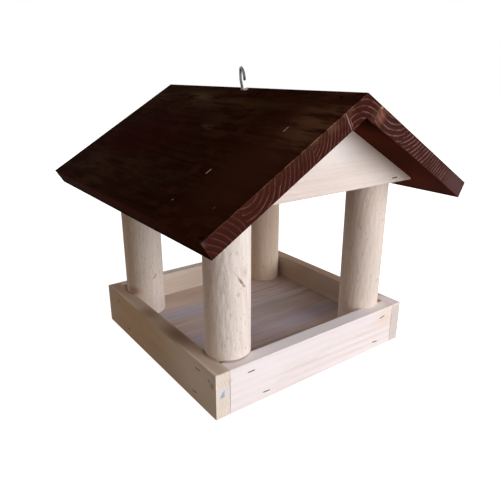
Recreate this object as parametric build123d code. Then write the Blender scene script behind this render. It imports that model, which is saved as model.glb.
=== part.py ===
from build123d import *
import math
import os

# A garden bird feeder: a railed tray, four peeled round posts, two gable boards and a pitched roof.
# Millimetres. The origin is the middle of the tray's underside, +Z is up, the ridge runs along Y,
# and -Y is the front.

# Tray
tray_width = 270.0
tray_length = 262.0
rail_height = 50.0
rail_thickness = 16.0
right_rail_thickness = 14.5
back_rail_thickness = 12.0
floor_thickness = 19.0
floor_stave_count = 5

# Posts
post_radius = 23.5
post_x = 97.5
post_y = 96.0
post_edge_break = 0.8

# Roof, whose left slope is a degree steeper than the right
ridge_height = 300.0
left_slope = 30.9
right_slope = 29.9
panel_thickness = 18.0
slope_length = 198.0
roof_front = -171.0
roof_back = 184.0
ridge_joint_left = 31.0
ridge_joint_right = 22.0
left_stave_widths = (44.0, 42.0, 41.0, 40.0)
right_stave_widths = (45.0, 44.0, 44.0, 43.0)

# Gable boards
gable_thickness = 16.0
gable_bottom = 203.5
gable_tip_height = 2.0

# Screw hook, set a little to the left of the ridge line
hook_x = -4.0
hook_y = 7.5
hook_turn = -20.6
wire_radius = 1.5
bowl_radius = 6.5
bowl_height = 19.2
bend_radius = 9.0
tip_angle = -20.0
screw_depth = 14.0
screw_point = 3.0
screw_tip_radius = 0.3

# Chip broken out of the ridge beside the hook, as run along the ridge and depth below it
chip_start = 5.0
chip_deepest = 13.0
chip_end = 14.5
chip_depth = 3.4

slopes = {-1: math.radians(left_slope), 1: math.radians(right_slope)}
rises = {side: math.tan(angle) for side, angle in slopes.items()}
left_inner_x = -tray_width / 2 + rail_thickness
right_inner_x = tray_width / 2 - right_rail_thickness
front_inner_y = -tray_length / 2 + rail_thickness
back_inner_y = tray_length / 2 - back_rail_thickness


def block(x_low, x_high, y_low, y_high, z_low, z_high):
    """A square-edged block between two corners."""
    size = (x_high - x_low, y_high - y_low, z_high - z_low)
    middle = ((x_low + x_high) / 2, (y_low + y_high) / 2, (z_low + z_high) / 2)
    return Pos(*middle) * Box(*size)


def extrude_along_y(points, y_low, y_high):
    """A prism: an outline of (x, z) points carried along Y."""
    outline = make_face(Polyline(*[(x, y_low, z) for x, z in points], close=True))
    return extrude(outline, y_high - y_low, dir=(0, 1, 0))


def slope_point(side, distance, depth):
    """A point of the roof's section: so far down one slope, so deep below its top face."""
    angle = slopes[side]
    along = distance * math.cos(angle) - depth * math.sin(angle)
    drop = distance * math.sin(angle) + depth * math.cos(angle)
    return (side * along, ridge_height - drop)


def underside_height(side, reach):
    """The height of one slope's underside, so far out from the ridge line."""
    return ridge_height - panel_thickness / math.cos(slopes[side]) - reach * rises[side]


def underside_ridge():
    """The point where the undersides of the two slopes meet."""
    left_top = underside_height(-1, 0)
    right_top = underside_height(1, 0)
    x = (right_top - left_top) / (rises[-1] + rises[1])
    return (x, left_top + x * rises[-1])


def make_rails():
    """The side rails run the full length; the front and back rails stand between them."""
    half_x = tray_width / 2
    half_y = tray_length / 2
    return {
        "left_rail": block(-half_x, left_inner_x, -half_y, half_y, 0, rail_height),
        "right_rail": block(right_inner_x, half_x, -half_y, half_y, 0, rail_height),
        "front_rail": block(left_inner_x, right_inner_x, -half_y, front_inner_y, 0, rail_height),
        "back_rail": block(left_inner_x, right_inner_x, back_inner_y, half_y, 0, rail_height),
    }


def make_floor():
    """The floor is glued from equal staves that run from side to side between the rails."""
    stave_width = (back_inner_y - front_inner_y) / floor_stave_count
    staves = {}
    for number in range(floor_stave_count):
        start = front_inner_y + number * stave_width
        end = start + stave_width
        stave = block(left_inner_x, right_inner_x, start, end, 0, floor_thickness)
        staves[f"floor_stave_{number + 1}"] = stave
    return staves


def make_posts(rails, gables, roof_space):
    """Round posts, housed round the rails and gable boards and cut to the roof's slope."""
    posts = {}
    post_height = ridge_height - floor_thickness
    for y_name, y_side in (("front", -1), ("back", 1)):
        for x_name, x_side in (("left", -1), ("right", 1)):
            shank = Cylinder(post_radius, post_height, align=(Align.CENTER, Align.CENTER, Align.MIN))
            foot = shank.edges().sort_by(Axis.Z)[0]
            shank = chamfer(foot, post_edge_break)
            post = Pos(x_side * post_x, y_side * post_y, floor_thickness) * shank
            post = post & roof_space
            for neighbour in (*rails.values(), *gables.values()):
                post = post - neighbour
            posts[f"post_{y_name}_{x_name}"] = post
    return posts


def make_gables():
    """Each gable board is a low triangle under the roof, flush with the tray's end."""
    tip_top = gable_bottom + gable_tip_height
    left_tip = (underside_height(-1, 0) - tip_top) / rises[-1]
    right_tip = (underside_height(1, 0) - tip_top) / rises[1]
    outline = [
        (-left_tip, gable_bottom),
        (right_tip, gable_bottom),
        (right_tip, tip_top),
        underside_ridge(),
        (-left_tip, tip_top),
    ]
    half_y = tray_length / 2
    return {
        "front_gable": extrude_along_y(outline, -half_y, -half_y + gable_thickness),
        "back_gable": extrude_along_y(outline, half_y - gable_thickness, half_y),
    }


def make_roof_space():
    """Everything below the roof's underside, as a solid for trimming the posts."""
    reach = slope_length
    outline = [
        (-reach, 0),
        (reach, 0),
        (reach, underside_height(1, reach)),
        underside_ridge(),
        (-reach, underside_height(-1, reach)),
    ]
    return extrude_along_y(outline, -tray_length / 2, tray_length / 2)


def make_slope_staves(side, name, first_joint, widths):
    """Staves of one roof slope, each square to the slope, from the ridge joint to the eave."""
    staves = {}
    start = first_joint
    for number, width in enumerate(widths, 1):
        end = start + width
        outline = [
            slope_point(side, start, 0),
            slope_point(side, end, 0),
            slope_point(side, end, panel_thickness),
            slope_point(side, start, panel_thickness),
        ]
        staves[f"{name}_roof_stave_{number}"] = extrude_along_y(outline, roof_front, roof_back)
        start = end
    return staves


def make_ridge_stave():
    """One stave is worked over the ridge and holds the hook; a chip is out of its arris."""
    outline = [
        slope_point(-1, ridge_joint_left, panel_thickness),
        slope_point(-1, ridge_joint_left, 0),
        (0, ridge_height),
        slope_point(1, ridge_joint_right, 0),
        slope_point(1, ridge_joint_right, panel_thickness),
        underside_ridge(),
    ]
    stave = extrude_along_y(outline, roof_front, roof_back)
    chip_outline = [
        (chip_start, ridge_height),
        (chip_deepest, ridge_height - chip_depth),
        (chip_end, ridge_height),
    ]
    half_chip = chip_depth / min(rises.values())
    chip_face = make_face(Polyline(*[(-half_chip, y, z) for y, z in chip_outline], close=True))
    stave = stave - extrude(chip_face, 2 * half_chip, dir=(1, 0, 0))
    hole_floor = hook_entry_height() - screw_depth
    hole = Cylinder(wire_radius, ridge_height - hole_floor, align=(Align.CENTER, Align.CENTER, Align.MIN))
    return stave - Pos(hook_x, hook_y, hole_floor) * hole


def hook_entry_height():
    """The height of the left slope where the hook's shank goes in."""
    return ridge_height + hook_x * rises[-1]


def make_hook():
    """A question-mark hook of round wire: shank, one bend back, and an open bowl."""
    centre_distance = bend_radius + bowl_radius
    bend_drop = math.sqrt(centre_distance**2 - bend_radius**2)
    bend_start = bowl_height - bend_drop
    share = bend_radius / centre_distance
    bend_angle = math.degrees(math.asin(bend_drop / centre_distance))
    meet = (-bend_radius * (1 - share), bend_start + share * bend_drop)
    meet_angle = math.degrees(math.atan2(meet[1] - bowl_height, meet[0]))
    sweep_angle = tip_angle - (meet_angle % 360)
    tip = (
        bowl_radius * math.cos(math.radians(tip_angle)),
        bowl_height + bowl_radius * math.sin(math.radians(tip_angle)),
    )
    point_top = screw_point - screw_depth
    shank = Line((0, point_top), (0, bend_start))
    bend = CenterArc((-bend_radius, bend_start), bend_radius, 0, bend_angle)
    bowl = CenterArc((0, bowl_height), bowl_radius, meet_angle % 360, sweep_angle)
    path = Plane.XZ * Wire([shank, bend, bowl])
    section = Plane((0, 0, point_top), z_dir=(0, 0, 1)) * Circle(wire_radius)
    hook = sweep(section, path)
    upright = (Align.CENTER, Align.CENTER, Align.MIN)
    point = Cone(screw_tip_radius, wire_radius, screw_point, align=upright)
    hook = hook + Pos(0, 0, -screw_depth) * point
    hook = hook + Pos(tip[0], 0, tip[1]) * Sphere(wire_radius)
    placed = Pos(hook_x, hook_y, hook_entry_height()) * Rot(0, 0, hook_turn - 90) * hook
    return {"screw_hook": placed}


rails = make_rails()
gables = make_gables()
pieces = {
    **rails,
    **make_floor(),
    **make_posts(rails, gables, make_roof_space()),
    **gables,
    "ridge_stave": make_ridge_stave(),
    **make_slope_staves(-1, "left", ridge_joint_left, left_stave_widths),
    **make_slope_staves(1, "right", ridge_joint_right, right_stave_widths),
    **make_hook(),
}

os.makedirs("parts", exist_ok=True)
for name, piece in pieces.items():
    piece.label = name
    export_step(piece, f"parts/{name}.step")
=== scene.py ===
import math

import bpy
import numpy as np
from mathutils import Matrix, Vector


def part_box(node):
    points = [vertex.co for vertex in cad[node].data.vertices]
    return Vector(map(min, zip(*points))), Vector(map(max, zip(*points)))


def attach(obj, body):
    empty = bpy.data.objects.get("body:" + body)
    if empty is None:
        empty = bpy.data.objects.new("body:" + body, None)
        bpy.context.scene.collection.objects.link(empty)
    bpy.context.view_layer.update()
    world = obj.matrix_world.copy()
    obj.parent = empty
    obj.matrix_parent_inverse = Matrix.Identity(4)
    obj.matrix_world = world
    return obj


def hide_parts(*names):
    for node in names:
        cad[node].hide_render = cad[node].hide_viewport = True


# A garden bird feeder: pale tray, posts and gables under a dark stained roof, with a wire hook.
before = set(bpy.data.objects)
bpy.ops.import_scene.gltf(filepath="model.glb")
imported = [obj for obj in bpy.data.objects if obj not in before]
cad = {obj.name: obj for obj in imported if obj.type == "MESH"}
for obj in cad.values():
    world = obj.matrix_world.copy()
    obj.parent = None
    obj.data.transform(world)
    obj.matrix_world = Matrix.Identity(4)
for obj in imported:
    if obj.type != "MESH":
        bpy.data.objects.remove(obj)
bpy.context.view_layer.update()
print("frame loaded,", len(cad), "pieces")

mm = 0.001

# the roof's section, as in the part: two slopes that meet on the ridge line, in mm and degrees
roof = {
    "ridge": 300.0,
    "slopes": {-1: 30.9, 1: 29.9},
    "front": -171.0,
}


def hexColour(text):
    parts = [int(text[i:i + 2], 16) / 255 for i in (0, 2, 4)]
    linear = [c / 12.92 if c <= 0.04045 else ((c + 0.055) / 1.055) ** 2.4 for c in parts]
    return (*linear, 1.0)


def roofPoint(side, distance, y, depth=0.0):
    # so far down one slope, at y along the ridge, so deep below the top face; all in mm
    angle = math.radians(roof["slopes"][side])
    x = distance * math.cos(angle) - depth * math.sin(angle)
    drop = distance * math.sin(angle) + depth * math.cos(angle)
    return (side * x, y, roof["ridge"] - drop)


# node helpers


def put(tree, kind, inputs=None, **settings):
    node = tree.nodes.new("ShaderNode" + kind)
    for key, value in settings.items():
        setattr(node, key, value)
    for key, value in (inputs or {}).items():
        if isinstance(value, bpy.types.NodeSocket):
            tree.links.new(value, node.inputs[key])
        else:
            node.inputs[key].default_value = value
    return node


def calc(tree, operation, a, b=0.0):
    return put(tree, "Math", {0: a, 1: b}, operation=operation).outputs[0]


def remap(tree, value, low, high, toLow=0.0, toHigh=1.0):
    sockets = {"Value": value, "From Min": low, "From Max": high, "To Min": toLow, "To Max": toHigh}
    return put(tree, "MapRange", sockets, interpolation_type="SMOOTHSTEP").outputs[0]


def blend(tree, factor, a, b, mode="MIX"):
    node = put(tree, "Mix", {0: factor, 6: a, 7: b}, data_type="RGBA", blend_type=mode)
    return node.outputs[2]


def stretched(tree, vector, scale, detail, roughness):
    # noise on coordinates scaled apart for across and along the grain
    spread = put(tree, "Mapping", {"Vector": vector, "Scale": scale}).outputs[0]
    sockets = {"Vector": spread, "Scale": 1.0, "Detail": detail, "Roughness": roughness}
    return put(tree, "TexNoise", sockets)


def nudged(tree, vector, noise, reach):
    # vector + (noise - 0.5) * reach
    centred = put(tree, "VectorMath", {0: noise, 1: (0.5, 0.5, 0.5)}, operation="SUBTRACT").outputs[0]
    push = put(tree, "VectorMath", {0: centred, "Scale": reach}, operation="SCALE").outputs[0]
    return put(tree, "VectorMath", {0: vector, 1: push}, operation="ADD").outputs[0]


def ramp(tree, value, stops):
    node = put(tree, "ValToRGB", {0: value})
    elements = node.color_ramp.elements
    while len(elements) < len(stops):
        elements.new(0.5)
    for element, (position, level) in zip(elements, stops):
        element.position = position
        element.color = (level, level, level, 1.0)
    return node.outputs[0]


# marks: knots, cracks, dents, wear and stains in the wood, and painted light and shade


def woodMark(at, half, colour, strength, soft, **extra):
    # an ellipsoid of colour: its middle and half sizes in mm, how strong it is, and how far its rim
    # fades as a share of its size; it can be turned, dented in, a tint of the wood, or broken by wisps
    plain = {"turn": (0, 0, 0), "dent": 0.0, "tint": False, "broken": False}
    return {"at": at, "half": half, "colour": colour, "strength": strength, "soft": soft, **plain, **extra}


def markMask(tree, coords, mark):
    # 1 inside the ellipsoid, 0 outside, with a soft rim between
    place = {
        "Vector": coords,
        "Location": [c * mm for c in mark["at"]],
        "Rotation": [math.radians(a) for a in mark["turn"]],
        "Scale": [c * mm for c in mark["half"]],
    }
    local = put(tree, "Mapping", place, vector_type="TEXTURE").outputs[0]
    reach = put(tree, "VectorMath", {0: local}, operation="LENGTH").outputs["Value"]
    soft = mark["soft"]
    return remap(tree, reach, 1.0 + soft, max(1.0 - soft, 0.0), 0.0, mark["strength"])


# wood

grainLines = {"x": (1, 0, 0), "y": (0, 1, 0), "z": (0, 0, 1)}

# noise layers: turns per metre across, across and along the grain, detail, roughness, and the levels
# over which each comes in
grainLayers = {
    "patch": ((24, 24, 7), 2.0, 0.55, (0.4, 0.65)),
    "mottle": ((62, 62, 26), 5.0, 0.65, (0.5, 0.62)),
    "streak": ((210, 210, 6), 3.0, 0.55, (0.35, 0.7)),
    "fibre": ((900, 900, 20), 3.0, 0.6, (0.35, 0.75)),
    "fleck": ((560, 560, 120), 2.0, 0.55, (0.6, 0.72)),
    "wisps": ((75, 75, 16), 4.0, 0.65, (0.42, 0.6)),
    "fade": ((90, 90, 9), 2.0, 0.55, (0.35, 0.6, 0.25, 1.0)),  # leaves a quarter of the rings at least
}
colourLayers = ("patch", "mottle", "streak", "fibre", "fleck")  # laid over each other in this order
sway = {"scale": (22, 22, 3.5), "detail": 6.0, "roughness": 0.6}  # what bends the growth rings
rag = {"scale": 700.0, "detail": 2.0, "reach": 0.0012}  # what frays the outline of a mark
endLevels = (0.7, 0.9)  # how squarely a face has to cut the fibres to show end grain

paleWood = {
    "early": "f0e5dd", "late": "d0b8a6", "end": "e6d9ce",
    "ringFace": 0.5, "ringEnd": 0.75, "endTint": 0.4, "endFibre": 0.4,
    "ringShape": [(0.0, 0.1), (0.5, 0.18), (0.82, 0.7), (0.92, 1.0), (1.0, 0.15)],
    "fibre": "cdbaab", "fibreAmount": 0.25, "streak": "dccdc2", "streakAmount": 0.3,
    "patch": "dfcfc3", "patchAmount": 0.4, "fleck": "b9a390", "fleckAmount": 0.2,
    "mottle": "e3d6cf", "mottleAmount": 0.3, "dimpleScale": (150, 150, 38),
    "fibreHeight": 0.5, "ringHeight": 0.25, "dimpleHeight": 1.2, "bump": 0.4, "depth": 0.0006,
    "roughness": 0.74, "glossSpread": 0.08, "specular": 0.12, "warp": 0.005,
}

stainedWood = {
    **paleWood, "early": "2b1207", "late": "1c0a04", "end": "3e1d16",
    "ringFace": 0.3, "endTint": 1.0, "endLine": "8c615b",
    "ringShape": [(0.0, 0.0), (0.66, 0.04), (0.85, 0.55), (0.93, 1.0), (1.0, 0.0)],
    "fibre": "1b0a04", "fibreAmount": 0.35, "streak": "37200f", "streakAmount": 0.5,
    "patch": "220702", "patchAmount": 0.7, "fleck": "120704", "fleckAmount": 0.4,
    "mottle": "3f2114", "mottleAmount": 0.75,
    "dimpleHeight": 0.6, "bump": 0.2, "roughness": 0.42, "specular": 0.0002, "warp": 0.006,
}


def boardFrame(tree, coords, grain, pith, tilt):
    # the board's own frame: its third axis runs with the grain, its origin lies on the pith
    turn = {
        "x": (0, 90 + tilt[0], tilt[1]),
        "y": (-90 + tilt[0], 0, tilt[1]),
        "z": (tilt[0], tilt[1], 0),
    }[grain]
    place = {
        "Vector": coords,
        "Location": [c * mm for c in pith],
        "Rotation": [math.radians(a) for a in turn],
    }
    return put(tree, "Mapping", place, vector_type="TEXTURE").outputs[0]


def growthRings(tree, local, finish, spacing):
    # a saw of the distance from the pith, one turn per ring, bent by slow noise and shaped by the stops
    bend = stretched(tree, local, sway["scale"], sway["detail"], sway["roughness"]).outputs["Color"]
    sockets = {
        "Vector": nudged(tree, local, bend, finish["warp"]),
        "Scale": math.pi / (10 * spacing * mm),
        "Distortion": 0.0,
    }
    wave = put(tree, "TexWave", sockets, wave_type="RINGS", rings_direction="Z", wave_profile="SAW")
    return ramp(tree, wave.outputs[1], finish["ringShape"])


def makeWood(name, finish, grain, pith, spacing, tilt, marks=()):
    material = bpy.data.materials.new(name)
    material.use_nodes = True
    tree = material.node_tree
    tree.nodes.clear()
    coords = put(tree, "TexCoord").outputs["Object"]
    local = boardFrame(tree, coords, grain, pith, tilt)
    noise = {}
    shown = {}
    for layer, (scale, detail, roughness, levels) in grainLayers.items():
        scale = finish.get(layer + "Scale", scale)
        noise[layer] = stretched(tree, local, scale, detail, roughness).outputs[0]
        shown[layer] = remap(tree, noise[layer], *levels)
    late = calc(tree, "MULTIPLY", growthRings(tree, local, finish, spacing), shown["fade"])

    # the long faces: rings, then the layers of colour
    faceRings = calc(tree, "MULTIPLY", late, finish["ringFace"])
    side = blend(tree, faceRings, hexColour(finish["early"]), hexColour(finish["late"]))
    for layer in colourLayers:
        amount = calc(tree, "MULTIPLY", shown[layer], finish[layer + "Amount"])
        side = blend(tree, amount, side, hexColour(finish[layer]))

    # end grain, where the face looks along the grain
    endRings = calc(tree, "MULTIPLY", late, finish["ringEnd"])
    endLine = hexColour(finish.get("endLine", finish["late"]))
    cut = blend(tree, endRings, hexColour(finish["end"]), endLine)
    endFibre = calc(tree, "MULTIPLY", shown["fibre"], finish["endFibre"])
    cut = blend(tree, endFibre, cut, hexColour(finish["fibre"]))
    cut = blend(tree, finish["endTint"], side, cut)
    normal = put(tree, "NewGeometry").outputs["Normal"]
    facing = put(tree, "VectorMath", {0: normal, 1: grainLines[grain]}, operation="DOT_PRODUCT")
    end = remap(tree, calc(tree, "ABSOLUTE", facing.outputs["Value"]), *endLevels)
    colour = blend(tree, end, side, cut)

    # marks, each with a ragged outline
    frayed = put(tree, "TexNoise", {"Vector": coords, "Scale": rag["scale"], "Detail": rag["detail"]})
    loose = nudged(tree, coords, frayed.outputs["Color"], rag["reach"])
    dent = 0.0
    for mark in marks:
        mask = markMask(tree, loose, mark)
        if mark["broken"]:
            mask = calc(tree, "MULTIPLY", mask, shown["wisps"])
        mode = "MULTIPLY" if mark["tint"] else "MIX"
        colour = blend(tree, mask, colour, hexColour(mark["colour"]), mode)
        if mark["dent"]:
            dent = calc(tree, "SUBTRACT", dent, calc(tree, "MULTIPLY", mask, mark["dent"]))

    # relief: raised fibres and rings, dimples, which are deepest on the peeled posts, and the dents
    dimple = stretched(tree, local, finish["dimpleScale"], 3.0, 0.55).outputs[0]
    height = calc(tree, "MULTIPLY", noise["fibre"], finish["fibreHeight"])
    height = calc(tree, "ADD", height, calc(tree, "MULTIPLY", late, finish["ringHeight"]))
    height = calc(tree, "ADD", height, calc(tree, "MULTIPLY", dimple, finish["dimpleHeight"]))
    height = calc(tree, "ADD", height, dent)
    sockets = {"Height": height, "Strength": finish["bump"], "Distance": finish["depth"]}
    bump = put(tree, "Bump", sockets).outputs[0]
    smooth = finish["roughness"] - finish["glossSpread"]
    rough = finish["roughness"] + finish["glossSpread"]
    gloss = remap(tree, noise["fibre"], 0.3, 0.7, smooth, rough)
    shader = put(tree, "BsdfPrincipled", {"Base Color": colour, "Roughness": gloss, "Normal": bump})
    shader.inputs["Specular IOR Level"].default_value = finish["specular"]
    output = put(tree, "OutputMaterial")
    tree.links.new(shader.outputs[0], output.inputs[0])
    return material


def dress(name, material):
    cad[name].data.materials.clear()
    cad[name].data.materials.append(material)


def ease(name, width):
    # closes the node's loose triangles, then rounds its sawn edges a little
    weld = cad[name].modifiers.new("close", "WELD")
    weld.merge_threshold = 0.00002
    bevel = cad[name].modifiers.new("eased edges", "BEVEL")
    bevel.width = width * mm
    bevel.segments = 2
    bevel.limit_method = "ANGLE"
    bevel.angle_limit = math.radians(35)


# tray

sideWood = {
    **paleWood, "early": "e3d3bf", "patch": "d0bda6", "end": "f8eddf", "endLine": "dbc6ae", "endTint": 0.85,
}
frontWood = {
    **paleWood, "early": "f9f1ee", "late": "e0c9ba", "end": "e6dccb",
    "ringFace": 0.65, "ringShape": [(0.0, 0.05), (0.35, 0.1), (0.8, 0.9), (1.0, 0.05)],
    "patch": "f0e0dc", "streak": "ecdad2", "mottleAmount": 0.2, "fibreAmount": 0.15, "fleckAmount": 0.1,
}
railWoods = {"left_rail": sideWood, "right_rail": sideWood, "front_rail": frontWood, "back_rail": paleWood}
railCuts = {
    "left_rail": {"grain": "y", "pith": (-175, 0, 20), "spacing": 3.4, "tilt": (0.8, 0.5)},
    "right_rail": {"grain": "y", "pith": (160, 0, -10), "spacing": 3.8, "tilt": (-0.7, 0.6)},
    "front_rail": {"grain": "x", "pith": (0, -112, -34), "spacing": 8.5, "tilt": (1.2, 0.4)},
    "back_rail": {"grain": "x", "pith": (0, 160, 70), "spacing": 3.6, "tilt": (-1.0, 0.6)},
}
railMarks = {
    "left_rail": [
        # a knot at the front corner with a pale rim, and a pale scuff on the end with grey scratches
        woodMark((-135, -124, 35.3), (4, 3.2, 3.0), "4a3426", 0.85, 0.5),
        woodMark((-134, -131, 36.5), (1.2, 1.5, 2.2), "f3ece4", 0.8, 0.5),
        woodMark((-126.5, -131, 28), (5, 1.5, 6), "e2e4e6", 0.8, 0.7),
        woodMark((-127.4, -131, 26.5), (1.4, 1.5, 3.6), "9a9da3", 0.8, 0.8, turn=(0, 32, 0)),
        woodMark((-127.0, -131, 24.4), (2.4, 1.5, 1.4), "9a9da3", 0.7, 0.8),
        # the outer face: creamy over most of its length, paler to the front
        woodMark((-136, 50, 25), (3, 100, 40), "f6e8d4", 1.0, 0.6, tint=True),
        woodMark((-136, -105, 25), (3, 50, 40), "f8ece0", 0.6, 0.8),
        # the top: a darker band, the shade round both posts, darker and paler stretches
        woodMark((-127, 0, 50), (8, 140, 1.5), "b3967a", 0.55, 0.4),
        woodMark((-99.5, -97.4, 50), (25.2, 25.2, 1.5), "644734", 0.7, 0.08),
        woodMark((-99, 97, 50), (25.2, 25.2, 1.5), "5a3c2c", 0.7, 0.08),
        woodMark((-127, 108, 50), (9, 30, 1.5), "a08060", 0.6, 0.8),
        woodMark((-127, 24, 50), (9, 14, 1.5), "8c7254", 0.6, 0.9),
        woodMark((-127, -42, 50), (9, 22, 1.5), "8c735c", 0.7, 0.8),
        woodMark((-127, -104, 50), (9, 16, 1.5), "c3b0a4", 0.6, 0.8),
        # a short crack beside the knot
        woodMark((-135, -119, 38.2), (3, 1.6, 0.9), "5a4232", 0.7, 0.7, turn=(20, 0, 0)),
    ],
    "right_rail": [
        # the inner face, painted darker as shade, the top, the shade round the post, and the pale front end
        # of the top
        woodMark((121, 0, 35), (3, 130, 14), "9c8271", 0.3, 0.6),
        woodMark((128, 20, 50), (9, 120, 1.5), "cabbb2", 0.9, 0.4, tint=True),
        woodMark((99.5, -96, 50), (25, 25, 1.5), "3c2a20", 0.8, 0.05),
        woodMark((128, -122, 50), (9, 19, 1.5), "fdf6fa", 1.0, 0.5),
        woodMark((128, -131, 25), (9, 1.5, 28), "cfc0bf", 0.6, 0.5),
    ],
    "front_rail": [
        # a speck at the left end, then paler and warmer fields of the face
        woodMark((-117.1, -131, 38.4), (1.3, 1.0, 1.1), "8a6a52", 0.7, 0.4),
        woodMark((-10, -131, 41), (120, 3, 8), "f6ebea", 0.7, 0.5),
        woodMark((108, -131, 38), (14, 3, 12), "eed9c2", 0.6, 0.8),
        woodMark((-95, -131, 25), (42, 3, 34), "fbf2f1", 0.7, 0.9),
        # the joints to the side rails, the pale top and the shade round the post
        woodMark((-118.6, -131, 25), (0.35, 3, 22), "8c7a64", 0.8, 0.6),
        woodMark((120.0, -131, 25), (0.35, 3, 22), "8c7a64", 0.8, 0.6),
        woodMark((0, -123, 50), (125, 9, 1.5), "fffafc", 0.9, 0.4),
        woodMark((-101, -97.8, 50), (24.8, 24.8, 1.5), "7a5c4c", 0.5, 0.06),
    ],
    "back_rail": [
        woodMark((0, 119, 35), (120, 3, 14), "c9ab86", 0.45, 0.6),  # a warmer inner face
    ],
}
for name, cut in railCuts.items():
    dress(name, makeWood(name + "Wood", railWoods[name], marks=railMarks[name], **cut))
    ease(name, 0.5)

floorWood = {
    **paleWood, "early": "e6dada", "late": "b0957f", "ringFace": 0.8,
    "patch": "c2b6be", "patchAmount": 0.7, "mottle": "d2c2c5", "mottleAmount": 0.5,
    "streak": "c6aa94", "streakAmount": 0.65, "streakScale": (120, 120, 5), "fibre": "b09b8a",
}
floorMarks = [
    # warm bands along the front and back, lilac ones between them, and a grey one in the middle
    # the front band is a painted shadow of the front rail, the back one painted light thrown back by the
    # back rail, and the lilac ones painted cool sky light
    woodMark((20, -98, 19), (120, 20, 2), "d4b28c", 0.85, 0.7, turn=(0, 0, 3)),
    woodMark((-20, 92, 19), (110, 26, 2), "ecd4c0", 0.8, 0.8),
    woodMark((-60, -20, 19), (60, 14, 2), "b9b4c6", 0.6, 0.8, turn=(0, 0, -4)),
    woodMark((82, -44, 19), (50, 14, 2), "b3adc2", 0.6, 0.8, turn=(0, 0, -4)),
    woodMark((36, -50, 19), (45, 10, 2), "d0c8d2", 0.6, 0.8),
    woodMark((-66, 56, 19), (34, 14, 2), "bdbcd0", 0.6, 0.8, turn=(0, 0, -4)),
    woodMark((20, 5, 19), (70, 10, 2), "b5ad9f", 0.5, 0.8, turn=(0, 0, 3)),
]
# for each stave: how far its pith lies from its middle, the pith's height, the ring spacing, the tilt
floorCuts = [
    (12, -22, 3.5, (0.5, 0.5)),
    (-20, -35, 3.8, (0.5, 0.1)),
    (6, 60, 4.1, (0.5, -0.3)),
    (25, -28, 4.4, (0.5, -0.7)),
    (-9, -40, 4.7, (0.5, -1.1)),
]
for number, (shift, height, spacing, tilt) in enumerate(floorCuts, 1):
    name = f"floor_stave_{number}"
    low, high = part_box(name)
    pith = (0, (low.y + high.y) / 2 / mm + shift, height)
    dress(name, makeWood(f"floorWood{number}", floorWood, "x", pith, spacing, tilt, floorMarks))
    ease(name, 0.3)
print("tray dressed")

# posts

postCuts = {
    "post_front_left": {"pith": (-91, -90, 0), "spacing": 2.6, "tilt": (1.6, -1.2)},
    "post_front_right": {"pith": (104, -101, 0), "spacing": 2.8, "tilt": (-1.1, 1.5)},
    "post_back_left": {"pith": (-103, 90, 0), "spacing": 2.4, "tilt": (1.4, 0.9)},
    "post_back_right": {"pith": (93, 102, 0), "spacing": 2.9, "tilt": (-1.3, -1.0)},
}
postMarks = {
    "post_front_left": [
        # a torn notch with a smaller one below it, a scratch, and two faint stains
        woodMark((-97.4, -119.2, 132.0), (4.6, 3, 1.2), "7b6456", 0.85, 0.7, turn=(0, 56, 0), dent=1.5),
        woodMark((-93.6, -119.0, 126.6), (1.9, 3, 1.2), "8a7262", 0.7, 0.8, turn=(0, 40, 0)),
        woodMark((-102.6, -119.0, 140.0), (4.6, 3, 0.7), "b39d8b", 0.35, 0.9, turn=(0, 54, 0), dent=0.3),
        woodMark((-92.4, -118.9, 140.4), (3.0, 3, 4.5), "c2ae9d", 0.5, 0.9),
        woodMark((-100.2, -119.3, 119.1), (1.8, 3, 2.0), "a08774", 0.4, 0.9),
    ],
    "post_back_left": [
        # a red-brown stain above the rail, and a nick
        woodMark((-118.5, 85, 54), (8, 9, 4.5), "b98468", 0.6, 0.8),
        woodMark((-95, 72.7, 71.5), (3.4, 3, 1.0), "7b6454", 0.6, 0.8, turn=(0, -40, 0), dent=1.0),
    ],
}
postWood = {
    **paleWood, "early": "ecdfd0", "late": "cdb59d", "ringFace": 0.25, "patchAmount": 0.35,
    "fleck": "b49b85", "fleckAmount": 0.5, "fleckScale": (430, 430, 150),
    "dimpleHeight": 3.6, "dimpleScale": (230, 230, 75),
}
# the front-left post is painted lighter as painted light and the front-right one darker as painted shade;
# the back-right post is a warmer tan
postTonesAndPaintedLight = {
    "post_front_left": {"early": "f6ebe0", "patch": "e8d8cb"},
    "post_front_right": {"early": "e8d9cb", "patch": "cfbbab"},
    "post_back_right": {"early": "e8d0b6", "patch": "d6bb9c"},
}
for name, cut in postCuts.items():
    finish = {**postWood, **postTonesAndPaintedLight.get(name, {})}
    dress(name, makeWood(name + "Wood", finish, "z", marks=postMarks.get(name, ()), **cut))
print("posts dressed")

# gables

gableWood = {**paleWood, "early": "eee1d6", "ringFace": 0.35}
gableCuts = {
    "front_gable": {"pith": (0, -150, 150), "spacing": 4.5, "tilt": (0.7, 0.2)},
    "back_gable": {"pith": (0, 100, 320), "spacing": 4.5, "tilt": (-0.6, 0.3)},
}
gableMarks = [
    # the paler field under the ridge is painted light, lifting the roof's shadow off the gable
    woodMark((-3, -131, 266), (44, 3, 26), "fdf5ee", 0.9, 0.9),  # paler under the ridge
    woodMark((0, -131, 203), (130, 3, 1.2), "c9b19c", 0.5, 0.8),  # darker along the lower edge
]
for name, cut in gableCuts.items():
    dress(name, makeWood(name + "Wood", gableWood, "x", marks=gableMarks, **cut))
    ease(name, 0.4)
print("gables dressed")

# roof

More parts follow.
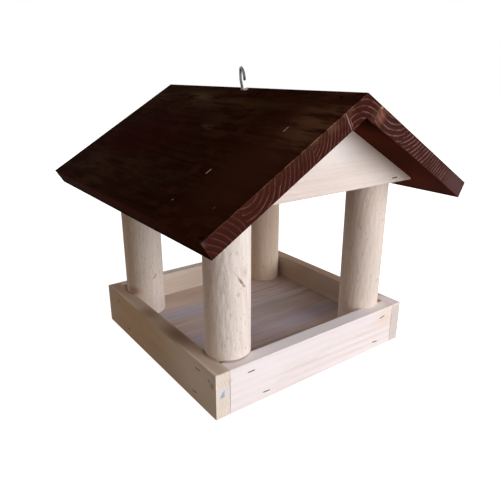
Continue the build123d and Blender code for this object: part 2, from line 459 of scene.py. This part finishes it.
# where each stave's pith meets the front end: side, distance down the slope, depth below the top,
# then the ring spacing and how strongly the rings show on the end
staveCuts = {
    "ridge_stave": (-1, 24, 32, 5.0, 0.9),
    "left_roof_stave_1": (-1, 86, -13, 4.0, 0.75),
    "left_roof_stave_2": (-1, 138, -13, 4.5, 0.5),
    "left_roof_stave_3": (-1, 148, -12, 5.5, 0.7),
    "left_roof_stave_4": (-1, 214, 26, 5.0, 0.3),
    "right_roof_stave_1": (1, 38, -22, 5.0, 0.85),
    "right_roof_stave_2": (1, 41, -27, 4.5, 1.0),
    "right_roof_stave_3": (1, 43, -28, 4.2, 1.0),
    "right_roof_stave_4": (1, 30, -20, 5.0, 0.25),
}
staveTilt = (0.5, 0.6)
slopeStains = {-1: stainedWood, 1: {**stainedWood, "end": "42231e", "endLine": "97716b"}}


def slopeMark(side, at, half, colour, strength, soft, skew=0.0, broken=False):
    # a mark on one slope, at (distance down, y, depth below the top face), skewed round its normal
    turn = (0, side * roof["slopes"][side], skew)
    return woodMark(roofPoint(side, *at), half, colour, strength, soft, turn=turn, broken=broken)


leftMarks = [
    # dusty bands and darker, redder ground between them
    slopeMark(-1, (26, 60, 0), (16, 130, 8), "4a3725", 0.75, 0.9, 1, True),
    slopeMark(-1, (22, 78, 0), (6, 22, 8), "5b4836", 0.8, 0.9, 2, True),
    slopeMark(-1, (58, -70, 0), (18, 75, 8), "44301f", 0.6, 0.9, -3, True),
    slopeMark(-1, (75, -5, 0), (4, 16, 8), "5a4334", 0.7, 0.8, 4, True),
    slopeMark(-1, (168, 90, 0), (34, 95, 8), "3f3122", 0.7, 0.8, 8, True),
    slopeMark(-1, (150, -60, 0), (30, 60, 8), "35271a", 0.55, 0.9, 10, True),
    # painted light and shade: the ground darker and redder at the back, lighter at the front end and its
    # corner, as the light falls off from the front
    slopeMark(-1, (112, 85, 0), (34, 62, 8), "2c0600", 0.75, 0.9, 5),
    slopeMark(-1, (90, -140, 0), (85, 40, 6), "402418", 0.75, 0.9),
    slopeMark(-1, (45, -152, 0), (35, 26, 6), "664836", 0.8, 0.9, 0, True),
    # the eave's face, the worn arris and the corner
    slopeMark(-1, (199, 0, 6), (3, 190, 9), "45190c", 0.8, 0.5),
    slopeMark(-1, (60, -171, 0), (62, 0.8, 0.6), "946a58", 0.7, 0.8, 0, True),
    slopeMark(-1, (160, -171, 0), (40, 0.7, 0.5), "7a5546", 0.5, 0.8, 0, True),
    slopeMark(-1, (197.5, -170.5, 2), (2.5, 2.0, 3.0), "6f5f58", 0.3, 0.8),
    slopeMark(-1, (194, -166, 0), (2.2, 3.0, 2), "120806", 0.75, 0.6),
    # the redder underside and the dark lower edge of the eave
    slopeMark(-1, (98, 0, 18), (98, 190, 2), "441914", 0.9, 0.2),
    slopeMark(-1, (199, 0, 17), (3, 190, 4), "160a07", 0.8, 0.7),
    # nail heads, a bright dot and a speck
    slopeMark(-1, (8.7, -147, 0), (1.6, 1.8, 2), "0b0504", 0.9, 0.4),
    slopeMark(-1, (9.8, -27.4, 0), (1.8, 3.0, 2), "0b0504", 0.9, 0.4),
    slopeMark(-1, (172.3, -88.3, 0), (1.0, 1.0, 1), "938a85", 0.8, 0.4),
    slopeMark(-1, (165, -145.4, 0), (1.2, 1.0, 1), "6a4d40", 0.8, 0.4),
]
rightMarks = [
    # dusty bands, redder ground, the dark arris and the eave's face
    slopeMark(1, (40, 40, 0), (18, 120, 8), "44301f", 0.6, 0.9, 2, True),
    slopeMark(1, (160, -40, 0), (34, 100, 8), "3b2c1e", 0.6, 0.9, -6, True),
    slopeMark(1, (110, 60, 0), (36, 70, 8), "2c0600", 0.7, 0.9, 4),
    slopeMark(1, (110, -171, 0), (95, 0.9, 0.8), "130906", 0.8, 0.6),
    slopeMark(1, (199, 0, 4), (3, 190, 7), "54281d", 0.6, 0.7),
    # on the end: a lighter heart near the joint, a worn spot, greyer wood at the eave
    slopeMark(1, (27, -171, 8), (5, 1.5, 6), "96644c", 0.45, 0.9),
    slopeMark(1, (23.5, -171, 1.5), (1.6, 1.5, 1.2), "b58e74", 0.8, 0.7),
    slopeMark(1, (182, -171, 9), (26, 1.5, 14), "614a49", 0.5, 0.8),
    # the redder underside, darker at the front, and the dark lower edge of the end
    slopeMark(1, (98, 0, 18), (98, 190, 2), "672c20", 1.0, 0.2),
    slopeMark(1, (178, 0, 18), (32, 190, 2), "764034", 0.6, 0.8),
    slopeMark(1, (95, -150, 18), (42, 30, 2), "3c241a", 0.75, 0.8),
    slopeMark(1, (106, -171, 18), (106, 0.8, 1.2), "2c1410", 0.9, 0.5),
]
ridgeMarks = [
    # raw wood in the chip and on its broken rim by the hook
    woodMark((3, 9.8, 298.4), (6, 4.4, 2.2), "d8c2ae", 1.0, 0.3),
    woodMark((-2.8, 3.2, 298.4), (2.4, 4.2, 1.7), "fffaf4", 1.0, 0.3),
    # glue lines of the ridge joint, seen on the end
    slopeMark(-1, (30.6, -171, 9), (0.5, 1.5, 9), "b08a86", 0.8, 0.6),
    slopeMark(-1, (28.2, -171, 12), (0.4, 1.5, 5), "96706c", 0.6, 0.6),
    slopeMark(1, (21.6, -171, 9), (0.35, 1.5, 8), "8a6a60", 0.6, 0.5),
    slopeMark(1, (19, -171, 12), (4, 1.5, 6), "4c3a30", 0.45, 0.8),
]
for name, (side, distance, depth, spacing, ringEnd) in staveCuts.items():
    marks = rightMarks if side > 0 else leftMarks
    if name == "ridge_stave":
        marks = leftMarks + rightMarks + ridgeMarks
    finish = {**slopeStains[side], "ringEnd": ringEnd}
    pith = roofPoint(side, distance, roof["front"], depth)
    dress(name, makeWood(name + "Stain", finish, "y", pith, spacing, staveTilt, marks))
print("roof dressed")

# hook

# its line is set out from where the shank enters the roof, as (towards the opening, up) in mm
hook = {
    "steel": "6f6d6c", "dull": "393735", "roughness": 0.42, "metal": 0.9,
    "foot": (-4.0, 7.5), "turn": -110.6, "wire": 1.5, "point": 3.0, "tip": 0.3, "sides": 16,
    "line": [(0, -13.5), (0, -8), (0, -3), (0, 1), (-2, 4), (-6.5, 8.5), (-8, 14), (-8.4, 19.5),
             (-7.6, 23.8), (-3, 23.2), (2.5, 20.6), (6.3, 17), (8.4, 13), (9.8, 10)],
}
steelGrain = {"cloud": 260.0, "cloudLevels": (0.42, 0.62), "speck": 1600.0, "bump": 0.2, "depth": 0.0002}


def makeSteel(name, look):
    material = bpy.data.materials.new(name)
    material.use_nodes = True
    tree = material.node_tree
    shader = tree.nodes["Principled BSDF"]
    coords = put(tree, "TexCoord").outputs["Object"]
    cloud = put(tree, "TexNoise", {"Vector": coords, "Scale": steelGrain["cloud"], "Detail": 3.0})
    speck = put(tree, "TexNoise", {"Vector": coords, "Scale": steelGrain["speck"], "Detail": 2.0}).outputs[0]
    dulled = remap(tree, cloud.outputs[0], *steelGrain["cloudLevels"])
    colour = blend(tree, dulled, hexColour(look["steel"]), hexColour(look["dull"]))
    rough = remap(tree, speck, 0.3, 0.7, look["roughness"] - 0.1, look["roughness"] + 0.15)
    sockets = {"Height": speck, "Strength": steelGrain["bump"], "Distance": steelGrain["depth"]}
    bump = put(tree, "Bump", sockets).outputs[0]
    tree.links.new(colour, shader.inputs["Base Color"])
    tree.links.new(rough, shader.inputs["Roughness"])
    tree.links.new(bump, shader.inputs["Normal"])
    shader.inputs["Metallic"].default_value = look["metal"]
    return material


def splineLine(controls, steps=10):
    # uniform cubic B-spline, its end points held: each span blends four controls a, b, c, d as
    # ((1-t)^3 a + (3t^3-6t^2+4) b + (-3t^3+3t^2+3t+1) c + t^3 d) / 6
    points = np.array([controls[0]] * 2 + list(controls) + [controls[-1]] * 2, float)
    t = np.linspace(0, 1, steps, endpoint=False)[:, None]
    weights = ((1 - t) ** 3, 3 * t**3 - 6 * t**2 + 4, -3 * t**3 + 3 * t**2 + 3 * t + 1, t**3)
    spans = [points[i:len(points) - 3 + i, None, :] * weights[i][None] for i in range(4)]
    line = (sum(spans) / 6).reshape(-1, 2)
    return np.vstack([line, points[-1]])


def closedTube(name, points, columns):
    # quads between neighbouring rings of points, and a face across each end
    count = len(points) // columns
    row, column = np.meshgrid(np.arange(count - 1), np.arange(columns), indexing="ij")
    a = row * columns + column
    b = row * columns + (column + 1) % columns
    faces = np.stack([a, b, b + columns, a + columns], axis=-1).reshape(-1, 4).tolist()
    faces.append(list(range(columns))[::-1])
    faces.append(list(range(len(points) - columns, len(points))))
    mesh = bpy.data.meshes.new(name)
    mesh.from_pydata(points.tolist(), [], faces)
    mesh.shade_smooth()
    piece = bpy.data.objects.new(name, mesh)
    bpy.context.scene.collection.objects.link(piece)
    return piece


def hookWire(name, size):
    # ring u, angle v: line(u) + r(u) (cos v * sideways + sin v * normal); r(u) is a cone over the
    # screw's point and a half circle at the tip
    line = splineLine(size["line"])
    slope = np.gradient(line, axis=0)
    slope = slope / np.linalg.norm(slope, axis=1, keepdims=True)
    run = np.concatenate([[0], np.cumsum(np.linalg.norm(np.diff(line, axis=0), axis=1))])
    wire = size["wire"]
    toTip = np.clip(run[-1] - run, 0.02, wire)  # the last ring stays just open
    dome = np.sqrt(wire**2 - (wire - toTip) ** 2)
    cone = size["tip"] + run * (wire - size["tip"]) / size["point"]
    radius = np.minimum(dome, cone)
    turn = math.radians(size["turn"])
    forward = np.array([math.cos(turn), math.sin(turn), 0.0])
    sideways = np.array([-forward[1], forward[0], 0.0])
    up = np.array([0.0, 0.0, 1.0])
    normal = -slope[:, 1:] * forward + slope[:, :1] * up
    v = np.linspace(0, 2 * np.pi, size["sides"], endpoint=False)[None, :, None]
    ring = np.cos(v) * sideways + np.sin(v) * normal[:, None]
    centre = line[:, :1] * forward + line[:, 1:] * up
    footX, footY = size["foot"]
    entry = np.array(roofPoint(-1, -footX / math.cos(math.radians(roof["slopes"][-1])), footY))
    points = (entry + centre[:, None] + radius[:, None, None] * ring).reshape(-1, 3) * mm
    return closedTube(name, points, size["sides"])


hookSteel = makeSteel("hookSteel", hook)
dress("screw_hook", hookSteel)
bentHook = hookWire("bent_hook", hook)
bentHook.data.materials.append(hookSteel)
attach(bentHook, "root")
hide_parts("screw_hook")
print("hook bent")

# staples

staple = {
    "crown": 9.0, "leg": 6.0, "bend": 0.7, "bendSteps": 5,
    "width": 1.4, "thick": 0.6, "proud": 0.12, "sides": 12, "power": 0.6,
    "steel": "574a43", "dull": "332823", "roughness": 0.6, "metal": 0.5,
}
roofStaple = {
    **staple, "crown": 7.2, "width": 1.2, "proud": 0.25,
    "steel": "766f67", "dull": "453f3a", "roughness": 0.5, "metal": 0.4,
}
# across the face, height and lean
staplePlaces = {
    "front": [(-93.5, 39.5, 0), (-73.9, 8.4, -2), (92.6, 9.1, -3), (102.4, 39.2, 9)],
    "left": [(-97.8, 40.6, 1), (-90.4, 10.3, -10), (97.5, 40.1, 3), (71.6, 10.7, 4)],
    "gable": [(99.6, 208.8, 2), (-98.0, 209.3, -3)],
}
# each face: its places, the axis across it, the way out, and how far out it stands; the right, back and
# back gable faces mirror the seen ones
stapleFaces = {
    "front": ("front", (1, 0, 0), (0, -1, 0), 131),
    "front_gable": ("gable", (1, 0, 0), (0, -1, 0), 131),
    "left": ("left", (0, 1, 0), (-1, 0, 0), 135),
    "right": ("left", (0, 1, 0), (1, 0, 0), 135),
    "back": ("front", (1, 0, 0), (0, 1, 0), 131),
    "back_gable": ("gable", (1, 0, 0), (0, 1, 0), 131),
}
# side, distance down the slope and y
roofStaplePlaces = [(-1, 130.8, -91.3), (-1, 60.8, -125.3), (1, 131, -91), (1, 60, -124)]


def bentWire(name, size, centre, along, outward):
    # centre line: a leg, a quarter turn, the crown, a quarter turn, a leg, given as (s, h) arrays;
    # section: a superellipse, point = line + width * cos^e * side + thick * sin^e * normal
    half = size["crown"] / 2 - size["bend"]
    quarter = np.linspace(0, np.pi / 2, size["bendSteps"])
    s = np.concatenate([
        [-half - size["bend"]], -half - size["bend"] * np.cos(quarter),
        half + size["bend"] * np.sin(quarter), [half + size["bend"]],
    ])
    h = np.concatenate([
        [-size["leg"]], -size["bend"] + size["bend"] * np.sin(quarter),
        -size["bend"] + size["bend"] * np.cos(quarter), [-size["leg"]],
    ])
    slopeS, slopeH = np.gradient(s), np.gradient(h)
    length = np.hypot(slopeS, slopeH)
    normalS, normalH = -slopeH / length, slopeS / length
    turn = np.linspace(0, 2 * np.pi, size["sides"], endpoint=False)
    wide = size["width"] / 2 * np.sign(np.cos(turn)) * np.abs(np.cos(turn)) ** size["power"]
    deep = size["thick"] / 2 * np.sign(np.sin(turn)) * np.abs(np.sin(turn)) ** size["power"]
    along, outward = np.array(along, float), np.array(outward, float)
    across = np.cross(outward, along)
    lift = size["proud"] - size["thick"] / 2
    ring = (s[:, None] + normalS[:, None] * deep)[..., None] * along
    ring = ring + (h[:, None] + normalH[:, None] * deep + lift)[..., None] * outward
    ring = ring + np.broadcast_to(wide, (len(s), len(turn)))[..., None] * across
    points = (ring + np.array(centre, float)).reshape(-1, 3) * mm
    return closedTube(name, points, len(turn))


def driveStaple(name, size, steel, centre, along, outward):
    piece = bentWire(name, size, centre, along, outward)
    piece.data.materials.append(steel)
    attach(piece, "root")


stapleSteel = makeSteel("stapleSteel", staple)
roofStapleSteel = makeSteel("roofStapleSteel", roofStaple)
for face, (row, flat, out, reach) in stapleFaces.items():
    for number, (across, z, lean) in enumerate(staplePlaces[row], 1):
        centre = Vector(flat) * across + Vector(out) * reach + Vector((0, 0, z))
        angle = math.radians(lean)
        along = Vector(flat) * math.cos(angle) + Vector((0, 0, math.sin(angle)))
        driveStaple(f"staple_{face}_{number}", staple, stapleSteel, centre, along, out)
for side, distance, y in roofStaplePlaces:
    angle = math.radians(roof["slopes"][side])
    along = (math.cos(angle), 0, -side * math.sin(angle))
    out = (side * math.sin(angle), 0, math.cos(angle))
    slopeName = "left" if side < 0 else "right"
    name = f"roof_staple_{slopeName}_{int(distance)}"
    driveStaple(name, roofStaple, roofStapleSteel, roofPoint(side, distance, y), along, out)
print("staples driven")

# floor, lights and camera

studio = {
    "ambient": 0.24, "ambientColour": "ffe2c6", "aim": (0, 0, 0.15),
    "floorReach": 6.0, "floorGlow": 0.9, "floorShade": "a39a90", "floorTints": ("fbfaf9", "f6f5f4"),
    "lamps": {
        "key": {"from": (0.58, -1.71, 0.45), "power": 45.0, "size": 1.8, "colour": "f2f6ff"},
        "backFill": {"from": (-0.25, 1.75, 0.8), "power": 9.0, "size": 1.8, "colour": "e9eeff"},
    },
}


def seenDirectly(tree):
    # 1 for what the camera sees, in gloss and through glass too, and 0 for what lights the object
    path = put(tree, "LightPath")
    seen = calc(tree, "MAXIMUM", path.outputs["Is Camera Ray"], path.outputs["Is Glossy Ray"])
    return calc(tree, "MAXIMUM", seen, path.outputs["Is Transmission Ray"])


def makeStage():
    mesh = bpy.data.meshes.new("studioFloor")
    reach = studio["floorReach"]
    corners = [(-reach, -reach, 0), (reach, -reach, 0), (reach, reach, 0), (-reach, reach, 0)]
    mesh.from_pydata(corners, [], [(0, 1, 2, 3)])
    floor = bpy.data.objects.new("studioFloor", mesh)
    bpy.context.scene.collection.objects.link(floor)
    material = bpy.data.materials.new("studioFloor")
    material.use_nodes = True
    tree = material.node_tree
    tree.nodes.clear()
    coords = put(tree, "TexCoord").outputs["Object"]
    speckle = put(tree, "TexNoise", {"Vector": coords, "Scale": 40.0, "Detail": 4.0}).outputs[0]
    warm, grey = (hexColour(tint) for tint in studio["floorTints"])
    tint = blend(tree, remap(tree, speckle, 0.3, 0.7), warm, grey)
    shade = put(tree, "BsdfDiffuse", {"Color": hexColour(studio["floorShade"])}).outputs[0]
    lit = put(tree, "BsdfDiffuse", {"Color": tint}).outputs[0]
    glow = put(tree, "Emission", {"Color": (1, 1, 1, 1), "Strength": studio["floorGlow"]}).outputs[0]
    white = put(tree, "AddShader", {0: lit, 1: glow}).outputs[0]
    both = put(tree, "MixShader", {0: seenDirectly(tree), 1: shade, 2: white}).outputs[0]
    output = put(tree, "OutputMaterial")
    tree.links.new(both, output.inputs[0])
    mesh.materials.append(material)


def makeWorld():
    world = bpy.data.worlds.new("studio")
    bpy.context.scene.world = world
    world.use_nodes = True
    tree = world.node_tree
    tree.nodes.clear()
    ambient = {"Color": hexColour(studio["ambientColour"]), "Strength": studio["ambient"]}
    soft = put(tree, "Background", ambient).outputs[0]
    white = put(tree, "Background", {"Color": (1, 1, 1, 1), "Strength": 1.0}).outputs[0]
    both = put(tree, "MixShader", {0: seenDirectly(tree), 1: soft, 2: white}).outputs[0]
    output = put(tree, "OutputWorld")
    tree.links.new(both, output.inputs[0])


def makeLamp(name, lamp):
    light = bpy.data.lights.new(name, "AREA")
    light.energy = lamp["power"]
    light.color = hexColour(lamp["colour"])[:3]
    light.shape = "DISK"
    light.size = lamp["size"]
    body = bpy.data.objects.new(name, light)
    bpy.context.scene.collection.objects.link(body)
    body.location = lamp["from"]
    away = Vector(lamp["from"]) - Vector(studio["aim"])
    body.rotation_euler = away.to_track_quat("Z", "Y").to_euler()


# the photo's viewpoint in metres and degrees, and the lens for a sensor 36 mm wide
view = {
    "from": (-0.34562, -0.46830, 0.31597), "yaw": -36.556, "pitch": 19.614, "roll": 0.16,
    "lens": 35.889, "sensor": 36.0, "clip": 0.01,
}


def makeCamera():
    data = bpy.data.cameras.new("camera")
    data.lens = view["lens"]
    data.sensor_width = view["sensor"]
    data.clip_start = view["clip"]
    camera = bpy.data.objects.new("camera", data)
    bpy.context.scene.collection.objects.link(camera)
    turn = Matrix.Rotation(math.radians(view["yaw"]), 3, "Z")
    turn = turn @ Matrix.Rotation(math.radians(90 - view["pitch"]), 3, "X")
    turn = turn @ Matrix.Rotation(math.radians(view["roll"]), 3, "Z")
    camera.location = view["from"]
    camera.rotation_euler = turn.to_euler()
    bpy.context.scene.camera = camera


makeStage()
makeWorld()
for name, lamp in studio["lamps"].items():
    makeLamp(name, lamp)
makeCamera()
bpy.context.scene.view_settings.view_transform = "Standard"
print("stage, light and camera set")
